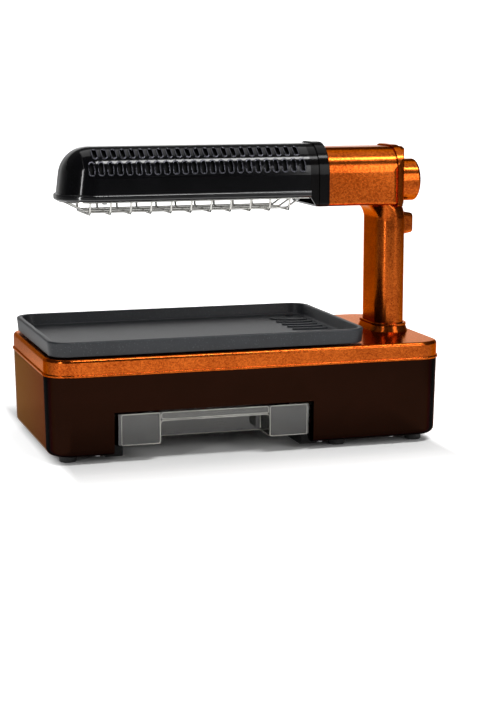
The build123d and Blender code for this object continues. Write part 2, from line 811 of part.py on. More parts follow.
cover_screw = screw(rail_screw_diameter, cover_screw_length, rail_screw_head, rail_screw_head_height)
with BuildPart() as cover_screws:
    for y, z in cover_screw_places:
        with Locations(Plane(origin=(column_right - cover_screw_sink, y, z), z_dir=(-1, 0, 0))):
            add(cover_screw)
write(cover_screws, "cover_screws")

# Foot ring: clamps round the column's foot and stops it under the sleeve
with BuildPart() as column_foot_ring:
    ring_top = Plane.XY.offset(deck_underside - sleeve_length - contact_gap)
    grow = foot_ring_proud + column_clearance
    outline = oval(ring_top, column_left - grow, column_right + grow, column_depth + 2 * grow)
    extrude(outline, amount=-foot_ring_height)
    hole = oval(ring_top, column_left, column_right, column_depth)
    extrude(hole, amount=-foot_ring_height, mode=Mode.SUBTRACT)
write(column_foot_ring, "column_foot_ring")

# Heat switch behind the knob, seated on the cover's inside, with its neck in the cover's hole
with BuildPart() as heat_switch:
    with BuildSketch(Plane.YZ.offset(cover_inside)):
        with Locations((0, knob_height)):
            Rectangle(switch_width, switch_width)
    extrude(amount=-switch_thickness)
    chamfer(heat_switch.faces().sort_by(Axis.X)[0].edges(), switch_edge)
    with BuildSketch(Plane.YZ.offset(cover_inside)):
        with Locations((0, knob_height)):
            Circle(switch_neck_diameter / 2)
    extrude(amount=column_wall)
    with BuildSketch(Plane.YZ.offset(arm_right)):
        with Locations((0, knob_height)):
            Circle(shaft_diameter / 2 + hole_clearance)
    extrude(amount=-column_wall - shaft_in_switch - contact_gap, mode=Mode.SUBTRACT)
write(heat_switch, "heat_switch")

# Knob and its shaft
knob_back = arm_right + knob_gap
with BuildPart() as knob_shaft:
    with BuildSketch(Plane.YZ.offset(cover_inside - shaft_in_switch)):
        with Locations((0, knob_height)):
            Circle(shaft_diameter / 2)
    extrude(amount=shaft_in_switch + column_wall + knob_gap + shaft_in_knob)
write(knob_shaft, "knob_shaft")

with BuildPart() as control_knob:
    with BuildSketch(Plane.YZ.offset(knob_back)):
        with Locations((0, knob_height)):
            Circle(knob_diameter / 2)
    extrude(amount=knob_length)
    fillet(control_knob.faces().sort_by(Axis.X)[-1].edges(), knob_edge_radius)
    with BuildSketch(Plane.YZ.offset(knob_back)):
        with Locations((0, knob_height)):
            Circle(knob_diameter / 2 - knob_skirt_wall)
            Circle(knob_boss_diameter / 2, mode=Mode.SUBTRACT)
    extrude(amount=shaft_in_knob, mode=Mode.SUBTRACT)
    with BuildSketch(Plane.YZ.offset(knob_back)):
        with Locations((0, knob_height)):
            Circle(shaft_diameter / 2)
    extrude(amount=shaft_in_knob, mode=Mode.SUBTRACT)
    with BuildSketch(Plane.YZ.offset(knob_back + knob_length - pointer_depth)):
        with Locations((0, knob_height + pointer_offset)):
            SlotOverall(pointer_length, pointer_width, rotation=90)
    extrude(amount=pointer_depth + overrun, mode=Mode.SUBTRACT)
write(control_knob, "control_knob")

# Push button with its retaining flange and stem, and the push switch that it works
column_inside = column_right - column_wall
flange_face = column_inside - contact_gap
with BuildPart() as push_button:
    with BuildSketch(Plane.YZ.offset(flange_face)):
        with Locations((0, button_height_place)):
            RectangleRounded(button_width, button_tall, button_corner)
    extrude(amount=contact_gap + column_wall)
    with BuildSketch(Plane.YZ.offset(column_right)):
        with Locations((0, button_height_place)):
            RectangleRounded(button_width, button_tall, button_corner)
    with BuildSketch(Plane.YZ.offset(column_right + button_proud)):
        with Locations((0, button_height_place)):
            face_width = button_width - 2 * button_draw_in
            face_tall = button_tall - 2 * button_draw_in
            RectangleRounded(face_width, face_tall, button_corner - button_draw_in / 2)
    loft()
    fillet(push_button.faces().sort_by(Axis.X)[-1].edges(), button_edge_radius)
    with BuildSketch(Plane.YZ.offset(flange_face)):
        with Locations((0, button_height_place)):
            Rectangle(button_width + 2 * button_flange, button_tall + 2 * button_flange)
    extrude(amount=-button_flange_thickness)
    with BuildSketch(Plane.YZ.offset(flange_face - button_flange_thickness)):
        with Locations((0, button_height_place)):
            Circle(button_stem_diameter / 2)
    extrude(amount=-button_travel - stem_reach)
write(push_button, "push_button")

switch_face = flange_face - button_flange_thickness - button_travel - contact_gap
with BuildPart() as push_switch:
    with BuildSketch(Plane.YZ.offset(switch_face)):
        with Locations((0, button_height_place)):
            Rectangle(column_depth - column_width, button_tall)
    extrude(amount=-(switch_face - column_left - column_wall))
    with BuildSketch(Plane.YZ.offset(switch_face)):
        with Locations((0, button_height_place)):
            Circle(button_stem_diameter / 2 + contact_gap)
    extrude(amount=-button_travel - stem_reach, mode=Mode.SUBTRACT)
write(push_switch, "push_switch")


def head_form(inset, floor, right):
    """The closed loaf form of the head with its leaning end, drawn in by an inset, from a floor height up."""
    with BuildPart() as form:
        for level, lean in ((floor, 0), (head_top_height - inset, head_end_lean)):
            end = head_left + inset + lean
            with BuildSketch(Plane.XY.offset(level)) as plan:
                with Locations((end, 0)):
                    Rectangle(right - end, 2 * (head_half_depth - inset), align=(Align.MIN, Align.CENTER))
                fillet(plan.vertices().group_by(Axis.X)[0], head_plan_radius - inset)
        loft(ruled=True)
        crown = form.faces().sort_by(Axis.Z)[-1].edges().sort_by(Axis.X)[:-1]
        fillet(crown, head_shoulder - inset)
    return form.part


# Head shell: the vented loaf, with bosses for the screws that come up through the frame
frame_screw_y = head_half_depth - head_wall - frame_screw_inset
frame_screw_places = [
    (x, side * frame_screw_y)
    for x in (head_left + frame_screw_margin_left, head_right - frame_screw_margin_right)
    for side in (-1, 1)
]
boss_foot = frame_top + reflector_sheet
vent_first = head_left + vent_left_inset
vent_count = int((head_right - vent_right_inset - vent_first) / vent_pitch) + 1
vent_middle = vent_first + (vent_count - 1) * vent_pitch / 2
with BuildPart() as head_shell:
    add(head_form(0, frame_top, head_right))
    add(head_form(head_wall, frame_top - overrun, head_right + overrun), mode=Mode.SUBTRACT)
    for row, angle in enumerate(vent_row_angles):
        for side in (-1, 1):
            out = Vector(0, side * cos(radians(angle)), sin(radians(angle)))
            centre = Vector(vent_middle, 0, head_top_height - head_shoulder)
            centre += Vector(0, side * (head_half_depth - head_shoulder), 0) + out * vent_tool_inner
            with BuildSketch(Plane(origin=centre, x_dir=(1, 0, 0), z_dir=out)):
                with GridLocations(vent_pitch, 0, vent_count - row, 1):
                    SlotOverall(vent_length, vent_width, rotation=90)
            extrude(amount=head_shoulder - vent_tool_inner + overrun, mode=Mode.SUBTRACT)
    with BuildSketch(Plane.XY.offset(boss_foot)):
        with Locations(*frame_screw_places):
            Circle(frame_boss_diameter / 2)
    extrude(amount=frame_boss_height)
    with BuildSketch(Plane.XY.offset(boss_foot)):
        with Locations(*frame_screw_places):
            Circle(rail_screw_diameter / 2 + hole_clearance)
    extrude(amount=frame_boss_height, mode=Mode.SUBTRACT)
write(head_shell, "head_shell")


def head_plate(level, height, inset):
    """A flat plate that follows the head's outline, drawn in by an inset (or proud, if that is negative)."""
    with BuildPart() as plate:
        with BuildSketch(Plane.XY.offset(level)) as plan:
            with Locations((head_left + inset, 0)):
                length = head_right - max(inset, 0) - head_left - inset
                Rectangle(length, 2 * (head_half_depth - inset), align=(Align.MIN, Align.CENTER))
            fillet(plan.vertices().group_by(Axis.X)[0], head_plan_radius - inset)
        extrude(amount=height)
    return plate.part


# Head frame: the beaded ring at the head's foot
frame_inner_inset = frame_opening_inset - frame_proud
with BuildPart() as head_frame:
    add(head_plate(frame_floor_height, frame_height, -frame_proud))
    add(head_plate(frame_floor_height, frame_height, frame_inner_inset), mode=Mode.SUBTRACT)
    outer_edges = head_frame.edges().filter_by(Axis.Z, reverse=True)
    outer_edges = [e for e in outer_edges if abs(e.center().Y) > head_half_depth or e.center().X < head_left]
    fillet(outer_edges, frame_edge_radius)
    with BuildSketch(Plane.XY.offset(frame_floor_height)):
        with Locations(*frame_screw_places):
            Circle(rail_screw_diameter / 2 + hole_clearance)
    extrude(amount=frame_height, mode=Mode.SUBTRACT)
write(head_frame, "head_frame")

# Head end collar: the black sleeve between the head and the arm, with a proud band at the arm
with BuildPart() as head_end_collar:
    arch_sizes = (arm_floor_height, head_top_height, head_shoulder, arm_foot_radius)
    tail = arch(Plane.YZ.offset(head_right), head_half_depth, *arch_sizes)
    extrude(tail, amount=arm_left - head_right)
    with BuildSketch(Plane.XZ):
        with BuildLine():
            Polyline(
                (head_right - overrun, arm_floor_height - overrun),
                (head_right + end_collar_slant_x, arm_floor_height - overrun),
                (head_right + end_collar_slant_x, arm_floor_height),
                (head_right, arm_floor_height + end_collar_slant_z),
                (head_right - overrun, arm_floor_height + end_collar_slant_z),
                close=True,
            )
        make_face()
    extrude(amount=head_half_depth + overrun, both=True, mode=Mode.SUBTRACT)
    band = arch(
        Plane.YZ.offset(arm_left - end_collar_band),
        head_half_depth + end_collar_proud,
        arm_floor_height,
        head_top_height + end_collar_proud,
        head_shoulder + end_collar_proud,
        arm_foot_radius,
    )
    extrude(band, amount=end_collar_band)
    fillet(head_end_collar.faces().sort_by(Axis.X)[-1].outer_wire().edges(), end_collar_edge)
    bore = arch(
        Plane.YZ.offset(head_right - overrun),
        head_half_depth - end_collar_wall,
        arm_floor_height + end_collar_wall,
        head_top_height - end_collar_wall,
        head_shoulder - end_collar_wall,
        arm_foot_radius - end_collar_wall,
    )
    extrude(bore, amount=arm_left - head_right + 2 * overrun, mode=Mode.SUBTRACT)
write(head_end_collar, "head_end_collar")

# Reflector: a folded trough of bright sheet with two end plates, on a rim that the frame carries
reflector_left = head_left + reflector_end_gap
reflector_right = head_right - reflector_end_gap
reflector_length = reflector_right - reflector_left
reflector_mid = (reflector_left + reflector_right) / 2


def trough(foot, grow):
    """The closed trough form over the tubes, from a foot height, grown outwards by an amount."""
    with BuildPart() as form:
        with BuildSketch(Plane.XY.offset(foot)):
            with Locations((reflector_mid, 0)):
                Rectangle(reflector_length + 2 * grow, reflector_mouth + 2 * grow)
        with BuildSketch(Plane.XY.offset(frame_top + reflector_rise + grow)):
            with Locations((reflector_mid, 0)):
                Rectangle(reflector_length + 2 * grow, reflector_roof + 2 * grow)
        loft()
    return form.part


with BuildPart() as reflector_whole:
    add(head_plate(frame_top, reflector_sheet, head_wall + reflector_rim_margin))
    add(trough(frame_top, 0))
    add(trough(frame_top, -reflector_sheet), mode=Mode.SUBTRACT)
    with BuildSketch(Plane.XY.offset(frame_top)):
        with Locations(*frame_screw_places):
            Circle(rail_screw_diameter / 2 + hole_clearance)
    extrude(amount=reflector_sheet, mode=Mode.SUBTRACT)

left_end = Plane.YZ.offset(reflector_left + reflector_sheet)
right_end = Plane.YZ.offset(reflector_right - reflector_sheet)
with BuildPart() as reflector:
    add(reflector_whole.part)
    split(bisect_by=left_end, keep=Keep.TOP)
    split(bisect_by=right_end, keep=Keep.BOTTOM)
write(reflector, "reflector")

with BuildPart() as reflector_ends:
    add(split(reflector_whole.part, bisect_by=left_end, keep=Keep.BOTTOM, mode=Mode.PRIVATE))
    add(split(reflector_whole.part, bisect_by=right_end, keep=Keep.TOP, mode=Mode.PRIVATE))
write(reflector_ends, "reflector_ends")

# Heat shield: a dark folded sheet that stands on the reflector's rim and covers its back
shield_foot = frame_top + reflector_sheet
with BuildPart() as heat_shield:
    add(trough(shield_foot, shield_gap + shield_sheet))
    add(trough(shield_foot, shield_gap), mode=Mode.SUBTRACT)
write(heat_shield, "heat_shield")

# Heater tubes between ceramic holders that stand on the reflector's end plates
tube_height = frame_top + tube_drop
tube_start = reflector_left + reflector_sheet + holder_seat
tube_end = reflector_right - reflector_sheet - holder_seat
for side, tube_name in ((-1, "heater_tube_front"), (1, "heater_tube_rear")):
    with BuildPart() as tube:
        with BuildSketch(Plane.YZ.offset(tube_start)):
            with Locations((side * tube_spacing / 2, tube_height)):
                Circle(tube_diameter / 2)
        extrude(amount=tube_end - tube_start)
    write(tube, tube_name)

with BuildPart() as tube_holders:
    for wall, way in ((reflector_left + reflector_sheet, 1), (reflector_right - reflector_sheet, -1)):
        for part_radius, start, length, mode in (
            (holder_diameter / 2, 0, holder_length, Mode.ADD),
            (tube_diameter / 2 + hole_clearance, holder_seat, holder_length, Mode.SUBTRACT),
        ):
            with BuildSketch(Plane.YZ.offset(wall + way * start)):
                with GridLocations(tube_spacing, 0, 2, 1):
                    with Locations((0, tube_height)):
                        Circle(part_radius)
            extrude(amount=way * length, mode=mode)
write(tube_holders, "tube_holders")

# Thermal cut-out on the shield's roof
shield_roof = frame_top + reflector_rise + shield_gap + shield_sheet
with BuildPart() as thermal_cutout:
    with BuildSketch(Plane.XY.offset(shield_roof)):
        with Locations((reflector_mid, 0)):
            Circle(cutout_diameter / 2)
    extrude(amount=cutout_height)
    with BuildSketch(Plane.XY.offset(shield_roof)):
        with Locations((reflector_mid, 0)):
            SlotOverall(2 * cutout_diameter, cutout_ear_width)
    extrude(amount=reflector_sheet)
write(thermal_cutout, "thermal_cutout")

# Wire guard: long wires and hoops under a flat ring that the frame's screws hold
ring_floor = frame_floor_height - guard_ring_thickness
ring_inner = guard_ring_inset + guard_ring_width
wire_low = frame_floor_height - guard_drop
hoop_low = wire_low - guard_wire - guard_touch
wire_top = ring_floor + guard_wire / 2
guard_left = head_left + guard_ring_inset + guard_ring_width / 2
guard_right = head_right - guard_ring_inset - guard_ring_width / 2
hoop_half = head_half_depth - guard_ring_inset - guard_ring_width / 2
hoop_first = guard_left + guard_slope_left
hoop_step = (guard_right - guard_slope_right - hoop_first) / (guard_hoop_count - 1)
with BuildPart() as guard_ring:
    add(head_plate(ring_floor, guard_ring_thickness, guard_ring_inset))
    add(head_plate(ring_floor, guard_ring_thickness, ring_inner), mode=Mode.SUBTRACT)
    with BuildSketch(Plane.XY.offset(ring_floor)):
        with Locations(*frame_screw_places):
            Circle(rail_screw_diameter / 2 + hole_clearance)
    extrude(amount=guard_ring_thickness, mode=Mode.SUBTRACT)
write(guard_ring, "guard_ring")


def bent_wires(routes):
    """Round wires along bent routes, each cut off flush under the guard's ring."""
    with BuildPart() as wires:
        for route in routes:
            with BuildLine():
                wire = FilletPolyline(*route, radius=guard_bend)
            with BuildSketch(Plane(origin=wire @ 0, z_dir=wire % 0)):
                Circle(guard_wire / 2)
            sweep()
        split(bisect_by=Plane.XY.offset(ring_floor), keep=Keep.BOTTOM)
    return wires


long_routes = []
for row in range(guard_wire_rows):
    y = (row - (guard_wire_rows - 1) / 2) * guard_wire_spacing
    long_routes.append(
        [
            (guard_left, y, wire_top),
            (guard_left + guard_slope_left, y, wire_low),
            (guard_right - guard_slope_right, y, wire_low),
            (guard_right, y, wire_top),
        ]
    )
write(bent_wires(long_routes), "guard_wires")

hoop_routes = []
for i in range(guard_hoop_count):
    x = hoop_first + i * hoop_step
    hoop_routes.append(
        [
            (x, -hoop_half, wire_top),
            (x, -hoop_half + guard_hoop_lean, hoop_low),
            (x, hoop_half - guard_hoop_lean, hoop_low),
            (x, hoop_half, wire_top),
        ]
    )
write(bent_wires(hoop_routes), "guard_hoops")

frame_screw_length = boss_foot + frame_boss_height - ring_floor
frame_screw = screw(rail_screw_diameter, frame_screw_length, rail_screw_head, rail_screw_head_height)
with BuildPart() as frame_screws:
    with Locations(*[(x, y, ring_floor) for x, y in frame_screw_places]):
        add(frame_screw)
write(frame_screws, "frame_screws")
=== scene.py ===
# %% [markdown]
# # A tabletop infrared grill, dressed for the studio
# The shapes come from the CAD model, so this file only gives each piece its finish and adds what
# is too fine for CAD: the pressed lips round the vents and a black sheet behind them as painted
# shade, painted highlights on the edges of the clear tray and the coils in the heater tubes.
# Lengths are metres.

from math import cos, pi, radians, sin, sqrt

import bmesh
import bpy
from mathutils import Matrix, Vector


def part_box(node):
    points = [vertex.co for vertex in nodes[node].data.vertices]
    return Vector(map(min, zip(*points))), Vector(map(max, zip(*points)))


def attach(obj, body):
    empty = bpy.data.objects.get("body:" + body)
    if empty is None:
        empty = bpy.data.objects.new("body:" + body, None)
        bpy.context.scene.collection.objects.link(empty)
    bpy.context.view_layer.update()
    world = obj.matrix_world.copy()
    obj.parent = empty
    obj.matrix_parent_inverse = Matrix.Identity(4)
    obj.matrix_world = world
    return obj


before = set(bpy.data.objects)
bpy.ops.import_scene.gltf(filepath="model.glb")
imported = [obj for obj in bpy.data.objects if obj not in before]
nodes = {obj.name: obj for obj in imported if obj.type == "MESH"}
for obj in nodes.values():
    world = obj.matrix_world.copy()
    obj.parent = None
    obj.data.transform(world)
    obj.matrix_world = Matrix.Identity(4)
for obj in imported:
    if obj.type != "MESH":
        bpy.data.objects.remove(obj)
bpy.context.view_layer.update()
MM = 0.001

# %% [markdown]
# ## A few small tools
# Colours are written as the sRGB hex values that a picture editor shows. Blender's sockets want
# linear light, so one function converts them. A shader node's input takes either a plain value or
# another node's output, so one function feeds both kinds, and another adds a node with its
# settings and feeds in one call.

# %% Colour and node helpers


def hex_colour(text):
    """An sRGB hex colour as linear RGBA."""
    channels = [int(text[i : i + 2], 16) / 255 for i in (1, 3, 5)]
    return tuple(c / 12.92 if c <= 0.04045 else ((c + 0.055) / 1.055) ** 2.4 for c in channels) + (1.0,)


def feed(material, node, feeds):
    """Give a node's inputs plain values or other nodes' outputs."""
    for socket, value in feeds:
        if isinstance(value, bpy.types.NodeSocket):
            material.node_tree.links.new(value, node.inputs[socket])
        else:
            node.inputs[socket].default_value = value


def add_node(material, kind, feeds=(), **settings):
    """Add one shader node with its settings, and feed its inputs."""
    made = material.node_tree.nodes.new(kind)
    for name, value in settings.items():
        setattr(made, name, value)
    feed(material, made, feeds)
    return made


def new_material(name):
    """A material with one Principled shader, and the object's own coordinates for its patterns."""
    material = bpy.data.materials.new(name)
    material.use_nodes = True
    place = add_node(material, "ShaderNodeTexCoord").outputs["Object"]
    return material, material.node_tree.nodes["Principled BSDF"], place


def per_metre(size_mm):
    """The texture scale that makes one cell of a pattern about this many millimetres wide."""
    return 1.0 / (size_mm * MM)


print("black is", hex_colour("#000000")[:3])

# %% [markdown]
# ## Sprayed copper lacquer
# The deck, the arm, the column, the knob and the button are sprayed with a copper lacquer that
# has metal flake in it. The eye sees a warm metal with fine sparkle, still orange at a shallow
# angle, which the edge tint keeps. One plain metal colour could stand in for it, but it would
# look like polished pipe. So a Voronoi pattern gives each flake its own shade, and a slow noise
# keeps large faces from looking flat. Real flake is about 0.05 mm, far too fine for the picture,
# so the cells here are drawn 1.3 mm wide.

# %% Copper lacquer
FLAKE_MM = 1.3
FLAKE_SHARE = 0.9
CLOUD_MM = 60


def copper_lacquer(name, deep, bright, roughness):
    material, shader, place = new_material(name)
    flake = add_node(material, "ShaderNodeTexVoronoi", [("Vector", place), ("Scale", per_metre(FLAKE_MM))])
    cloud = add_node(
        material,
        "ShaderNodeTexNoise",
        [("Vector", place), ("Scale", per_metre(CLOUD_MM)), ("Detail", 3.0)],
    )
    sparkle = add_node(material, "ShaderNodeSeparateColor", [("Color", flake.outputs["Color"])])
    share = add_node(
        material,
        "ShaderNodeMath",
        [(0, sparkle.outputs["Red"]), (1, FLAKE_SHARE), (2, -FLAKE_SHARE / 2)],
        operation="MULTIPLY_ADD",
    )
    wash = add_node(
        material,
        "ShaderNodeMath",
        [(0, share.outputs["Value"]), (1, cloud.outputs["Fac"])],
        operation="ADD",
        use_clamp=True,
    )
    tint = add_node(
        material,
        "ShaderNodeMix",
        [("Factor", wash.outputs["Value"]), (6, hex_colour(deep)), (7, hex_colour(bright))],
        data_type="RGBA",
    )
    relief = add_node(
        material,
        "ShaderNodeBump",
        [("Height", sparkle.outputs["Green"]), ("Strength", 0.07), ("Distance", 0.15 * MM)],
    )
    feed(
        material,
        shader,
        [
            ("Base Color", tint.outputs[2]),
            ("Normal", relief.outputs["Normal"]),
            ("Metallic", 1.0),
            ("Roughness", roughness),
            ("Specular Tint", hex_colour("#EAB492")),
        ],
    )
    return material


copper = copper_lacquer("sprayed_copper_lacquer", "#83340C", "#BA5A1E", 0.2)
print("made", copper.name)

# %% [markdown]
# ## Pearl lacquer, gloss plastic and black enamel
# The casing is moulded ABS under a very dark brown pearl lacquer: the mica in it shows bronze at
# a shallow angle and almost black from the front. Dark paint under a clear coat could do, but it
# never turns bronze, so the lacquer is a dark metal with an edge tint. The head is steel with
# gloss black enamel, and the lips of its vents are brighter, like black chrome. The eye sees all
# of them mirror the room, softened by the faint orange-peel wave, about 6 mm wide, that spraying
# leaves. So the bump and the roughness vary a little and the colour hardly at all, and one
# function makes them with different numbers.

# %% Gloss plastic and enamel
WEAR_MM = 28
WEAR_SPREAD = 0.25


def gloss_skin(name, dark, light, roughness, wave_mm, wave_height_mm, more=()):
    material, shader, place = new_material(name)
    peel = add_node(
        material,
        "ShaderNodeTexNoise",
        [("Vector", place), ("Scale", per_metre(wave_mm)), ("Detail", 2.0)],
    )
    wear = add_node(
        material,
        "ShaderNodeTexNoise",
        [("Vector", place), ("Scale", per_metre(WEAR_MM)), ("Detail", 6.0)],
    )
    tint = add_node(
        material,
        "ShaderNodeMix",
        [("Factor", wear.outputs["Fac"]), (6, hex_colour(dark)), (7, hex_colour(light))],
        data_type="RGBA",
    )
    grease = add_node(
        material,
        "ShaderNodeMapRange",
        [
            ("Value", wear.outputs["Fac"]),
            ("To Min", roughness * (1 - WEAR_SPREAD)),
            ("To Max", roughness * (1 + WEAR_SPREAD)),
        ],
    )
    relief = add_node(
        material,
        "ShaderNodeBump",
        [("Height", peel.outputs["Fac"]), ("Strength", 0.2), ("Distance", wave_height_mm * MM)],
    )
    feed(
        material,
        shader,
        [
            ("Base Color", tint.outputs[2]),
            ("Roughness", grease.outputs["Result"]),
            ("Normal", relief.outputs["Normal"]),
            *more,
        ],
    )
    return material


mica = [
    ("Metallic", 1.0),
    ("Specular Tint", hex_colour("#A07A54")),
    ("Coat Weight", 0.03),
    ("Coat Roughness", 0.2),
]
soft_gloss = [("Specular IOR Level", 0.3)]
high_gloss = [("Specular IOR Level", 0.7)]
low_gloss = [("Specular IOR Level", 0.1)]
plated = [("Metallic", 1.0)]
casing_brown = gloss_skin("brown_pearl_lacquer", "#150702", "#1B0A04", 0.1, 6.0, 0.05, mica)
enamel = gloss_skin("black_enamel_on_steel", "#020203", "#040406", 0.1, 6.0, 0.05, soft_gloss)
frame_black = gloss_skin("polished_black_enamel", "#040405", "#08080B", 0.14, 6.0, 0.03, high_gloss)
black_abs = gloss_skin("moulded_black_abs", "#060505", "#0B0A0A", 0.14, 5.0, 0.05, low_gloss)
lip_black = gloss_skin("bright_black_chrome", "#3E3E44", "#54545A", 0.1, 6.0, 0.02, plated)
print("made", [m.name for m in (casing_brown, enamel, frame_black, black_abs, lip_black)])

# %% [markdown]
# ## Dull plastics, rubber and ceramic
# The pieces that are mostly out of sight have plain moulded, painted or fired surfaces. To the
# eye they are soft and even: a wide dim glint and a fine grain from the mould. Each could have
# its own shader, but they differ only in colour, roughness and grain, so the function for the
# gloss pieces makes them too.

# %% Dull finishes
matt = [("Specular IOR Level", 0.2)]
dull_plastic = gloss_skin("moulded_matt_polypropylene", "#1B1A19", "#262524", 0.5, 1.2, 0.05)
terminal_white = gloss_skin("moulded_white_polyamide", "#C9C6BC", "#D8D5CC", 0.45, 1.5, 0.05)
shield_black = gloss_skin("black_heatproof_paint", "#0B0B0B", "#141414", 0.6, 2.0, 0.05, matt)
rubber = gloss_skin("moulded_rubber", "#0F0F0F", "#1A1A1A", 0.7, 1.0, 0.1)
ceramic = gloss_skin("fired_steatite_ceramic", "#CFC7B6", "#E0D9CA", 0.55, 1.5, 0.1)
print("made", [m.name for m in (dull_plastic, terminal_white, shield_black, rubber, ceramic)])

# %% [markdown]
# ## Non-stick coating on a casting
# The pan is cast aluminium with a charcoal non-stick coating. The casting leaves a fine pebble
# that blurs every glint, and the coating has pale specks in it. The pebble could be modelled, but
# that takes millions of faces, and a bump from noise looks the same at this distance. Real grit
# is near 0.4 mm, drawn about 1.5 mm here so that it shows. The specks are the middles of Voronoi
# cells, so they lie apart and form no grid.

# %% Pan coating
PEBBLE_MM = 1.5
PATCH_MM = 35
SPECK_MM = 2.2


def pan_coating():
    material, shader, place = new_material("coated_cast_aluminium")
    pebble = add_node(
        material,
        "ShaderNodeTexNoise",
        [("Vector", place), ("Scale", per_metre(PEBBLE_MM)), ("Detail", 3.0)],
    )
    patch = add_node(
        material,
        "ShaderNodeTexNoise",
        [("Vector", place), ("Scale", per_metre(PATCH_MM)), ("Detail", 5.0)],
    )
    speck = add_node(material, "ShaderNodeTexVoronoi", [("Vector", place), ("Scale", per_metre(SPECK_MM))])
    spot = add_node(
        material,
        "ShaderNodeMapRange",
        [
            ("Value", speck.outputs["Distance"]),
            ("From Min", 0.12),
            ("From Max", 0.2),
            ("To Min", 1.0),
            ("To Max", 0.0),
        ],
    )
    body = add_node(
        material,
        "ShaderNodeMix",
        [("Factor", patch.outputs["Fac"]), (6, hex_colour("#1F2123")), (7, hex_colour("#2D2F33"))],
        data_type="RGBA",
    )
    tint = add_node(
        material,
        "ShaderNodeMix",
        [("Factor", spot.outputs["Result"]), (6, body.outputs[2]), (7, hex_colour("#4C4E51"))],
        data_type="RGBA",
    )
    relief = add_node(
        material,
        "ShaderNodeBump",
        [("Height", pebble.outputs["Fac"]), ("Strength", 0.35), ("Distance", 0.2 * MM)],
    )
    feed(
        material,
        shader,
        [
            ("Base Color", tint.outputs[2]),
            ("Normal", relief.outputs["Normal"]),
            ("Roughness", 0.42),
            ("Specular IOR Level", 0.28),
        ],
    )
    return material


coating = pan_coating()
print("made", coating.name)

# %% [markdown]
# ## Bright metals
# The guard is plated wire, the reflector bright rolled sheet, the screws zinc plated and the
# heater coils are oxidised resistance wire. Rolling and drawing leave fine lines that run one
# way, and the eye sees them as streaks in the glint. Anisotropic gloss could give the streaks,
# but it needs a direction for every face. Noise stretched along X needs only the object's
# coordinates, and colour and roughness follow it.

# %% Metals
LINE_STRETCH = 0.03
LINE_SPREAD = 0.3


def drawn_metal(name, dark, light, roughness, line_mm):
    material, shader, place = new_material(name)
    drawn = add_node(material, "ShaderNodeMapping", [("Vector", place), ("Scale", (LINE_STRETCH, 1.0, 1.0))])
    lines = add_node(
        material,
        "ShaderNodeTexNoise",
        [("Vector", drawn.outputs["Vector"]), ("Scale", per_metre(line_mm)), ("Detail", 4.0)],
    )
    tint = add_node(
        material,
        "ShaderNodeMix",
        [("Factor", lines.outputs["Fac"]), (6, hex_colour(dark)), (7, hex_colour(light))],
        data_type="RGBA",
    )
    dull = add_node(
        material,
        "ShaderNodeMapRange",
        [
            ("Value", lines.outputs["Fac"]),
            ("To Min", roughness * (1 - LINE_SPREAD)),
            ("To Max", roughness * (1 + LINE_SPREAD)),
        ],
    )
    feed(
        material,
        shader,
        [("Base Color", tint.outputs[2]), ("Roughness", dull.outputs["Result"]), ("Metallic", 1.0)],
    )
    return material


plated_wire = drawn_metal("nickel_plated_wire", "#A9A8A4", "#D6D5D0", 0.2, 0.8)
bright_sheet = drawn_metal("bright_rolled_aluminium", "#B9B9B7", "#DADAD8", 0.22, 1.2)
zinc = drawn_metal("zinc_plated_steel", "#8E8F90", "#B5B6B7", 0.35, 0.6)
coil_wire = drawn_metal("oxidised_resistance_wire", "#4A403A", "#6E625A", 0.45, 0.5)
print("made", [m.name for m in (plated_wire, bright_sheet, zinc, coil_wire)])

# %% [markdown]
# ## Clear tray and quartz
# The tray is clear moulded polystyrene with a smoky tint, and the heater tubes are milky quartz.
# The eye looks through both and sees what is behind them bent. A half see-through paint could
# fake that without the bend, so they are transmission with the real IOR, and a slow cloud in the
# colour keeps them from looking like perfect glass. The painted highlight for the tray's edges is
# here too, and its shape comes further down.

# %% Clear bodies


def clear_body(name, dark, light, cloud_mm, detail, roughness, ior, transmission):
    material, shader, place = new_material(name)
    cloud = add_node(
        material,
        "ShaderNodeTexNoise",
        [("Vector", place), ("Scale", per_metre(cloud_mm)), ("Detail", detail)],
    )
    tint = add_node(
        material,
        "ShaderNodeMix",
        [("Factor", cloud.outputs["Fac"]), (6, hex_colour(dark)), (7, hex_colour(light))],
        data_type="RGBA",
    )
    feed(
        material,
        shader,
        [
            ("Base Color", tint.outputs[2]),
            ("Roughness", roughness),
            ("IOR", ior),
            ("Transmission Weight", transmission),
        ],
    )
    return material


tray_clear = clear_body("clear_smoky_polystyrene", "#8C8A84", "#A8A69F", 14, 5.0, 0.03, 1.58, 1.0)
quartz = clear_body("milky_quartz_glass", "#E4DFD8", "#F3F0EA", 4, 3.0, 0.25, 1.46, 0.75)
# painted highlight: a pale, half see-through colour for the beads on the tray's edges
see_through_highlight = [("Transmission Weight", 0.4), ("IOR", 1.58)]
tray_edge_highlight = gloss_skin("painted_edge_highlight", "#4E4C42", "#E4E2D8", 0.2, 3.0, 0.05, see_through_highlight)
print("made", [m.name for m in (tray_clear, quartz, tray_edge_highlight)])

# %% [markdown]
# ## Hand the finishes to the CAD pieces
# Every piece of the real object has one finish, from its own mould or its own bath. Each could be
# given by hand, but a table from finish to pieces is easier to read, and it shows at once which
# pieces are still bare. The CAD shapes stay as they are.

